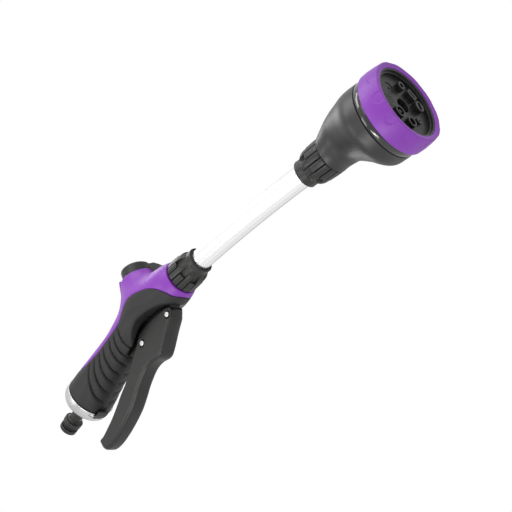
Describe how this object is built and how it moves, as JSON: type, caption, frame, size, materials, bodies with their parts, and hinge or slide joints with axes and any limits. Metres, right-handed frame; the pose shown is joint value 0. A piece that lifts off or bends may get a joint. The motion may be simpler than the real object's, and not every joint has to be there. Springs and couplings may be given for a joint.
{
  "type": "watering wand",
  "caption": "Garden watering wand: hose plug, squeeze trigger grip with thumb flow control, bent aluminium lance and rotating multi-pattern spray head.",
  "frame": {"origin": "centre of the hose plug's end face", "axes": "+X towards the spray head, along the lance where it leaves the handle; +Z to the thumb side; +Y across the grip"},
  "size_m": [0.4752, 0.0704, 0.1326],
  "materials": {
    "purple_plastic": "satin moulded",
    "black_rubber": "soft-touch overmould",
    "black_plastic": "satin moulded",
    "bell_black": "soft-touch satin",
    "gloss_black": "polished",
    "lance_aluminium": "satin drawn",
    "bright_trim": "satin chrome",
    "steel_pin": "bright",
    "spring_steel": "drawn wire",
    "seal_rubber": "moulded",
    "dark_steel": "blackened",
    "white_plastic": "natural"
  },
  "bodies": {
    "handle": {"hose_plug": "black_plastic", "plug_o_ring": "seal_rubber", "inlet_strainer": "white_plastic", "base_ring": "bright_trim", "lance_tube": "lance_aluminium", "lower_collar_nut": "black_plastic", "upper_collar_nut": "black_plastic", "lower_tube_seal": "seal_rubber", "upper_tube_seal": "seal_rubber", "grip_sleeve": "black_rubber", "handle_shell": "purple_plastic", "valve_body": "black_plastic", "water_duct": "white_plastic", "lance_spigot": "black_plastic", "rod_o_ring": "seal_rubber", "stem_gland": "black_plastic", "stem_o_ring": "seal_rubber", "return_spring": "spring_steel", "trigger_pivot_pin": "steel_pin", "clip_pin": "steel_pin", "bell_housing": "bell_black", "head_neck": "black_plastic", "trim_ring": "gloss_black", "distributor": "white_plastic", "port_seal": "seal_rubber", "detent_ball": "steel_pin", "detent_spring": "spring_steel", "dial_washer": "dark_steel", "dial_screw": "dark_steel"},
    "trigger": {"trigger_lever": "black_plastic", "trigger_link_pin": "steel_pin"},
    "plunger": {"valve_plunger": "white_plastic", "poppet_washer": "seal_rubber"},
    "flow_knob": {"flow_control_knob": "black_plastic"},
    "dial": {"pattern_dial": "purple_plastic", "face_plate": "black_plastic", "rose_insert": "black_plastic", "cone_insert": "black_plastic"},
    "clip": {"lock_clip": "black_plastic", "clip_pad": "seal_rubber"}
  },
  "joints": [
    {"name": "trigger_pull", "type": "hinge", "parent": "handle", "child": "trigger", "pos_m": [0.1795, 0, 0.0184], "axis": [0, 1, 0], "range_deg": [0, 7.5], "stiffness_Nm_per_rad": 0.4},
    {"name": "plunger_slide", "type": "slide", "parent": "handle", "child": "plunger", "axis": [0, 0, 1], "range_m": [0, 0.0053], "deforming": ["return_spring"]},
    {"name": "flow_knob_turn", "type": "hinge", "parent": "handle", "child": "flow_knob", "pos_m": [0.152, 0, 0.075], "axis": [0, 0, 1], "range_deg": [0, 90]},
    {"name": "dial_turn", "type": "hinge", "parent": "handle", "child": "dial", "pos_m": [0.46216, 0, 0.02367], "axis": [0.9959, 0, -0.0907], "continuous": true},
    {"name": "clip_swing", "type": "hinge", "parent": "handle", "child": "clip", "pos_m": [0.04764, 0, -0.01134], "axis": [0, 1, 0], "range_deg": [0, 20]}
  ],
  "couplings": [
    {"joint": "plunger_slide", "follows": "trigger_pull", "m_per_rad": 0.0404}
  ]
}
